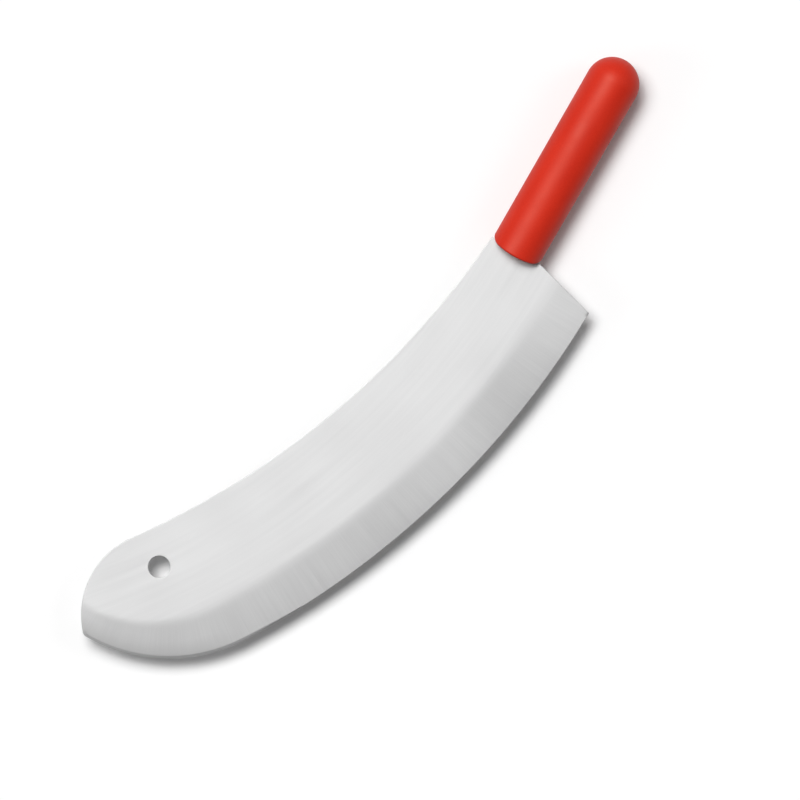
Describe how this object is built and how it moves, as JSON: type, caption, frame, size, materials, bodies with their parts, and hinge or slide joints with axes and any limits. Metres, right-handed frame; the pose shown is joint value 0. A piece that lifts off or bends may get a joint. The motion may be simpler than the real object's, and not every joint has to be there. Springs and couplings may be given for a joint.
{
  "type": "one-handed mezzaluna",
  "caption": "Crescent-shaped rocking chopper with a wide ground bevel along its convex edge, a hang hole at the tip and a round moulded handle in line with the blade.",
  "frame": {"origin": "middle of the bounding box, at the underside of the round handle, with the blade held level", "axes": "+X along the handle's axis towards the blade's tip, +Y towards the cutting edge, +Z square to the blade's face"},
  "size_m": [0.4522, 0.177, 0.032],
  "materials": {
    "blade_steel": "fine satin with a ground bevel",
    "core_plastic": "plain natural moulding",
    "grip_plastic": "satin, finely pebbled moulding"
  },
  "bodies": {
    "root": {"blade": "blade_steel", "handle_core": "core_plastic", "handle_grip": "grip_plastic"}
  },
  "joints": []
}
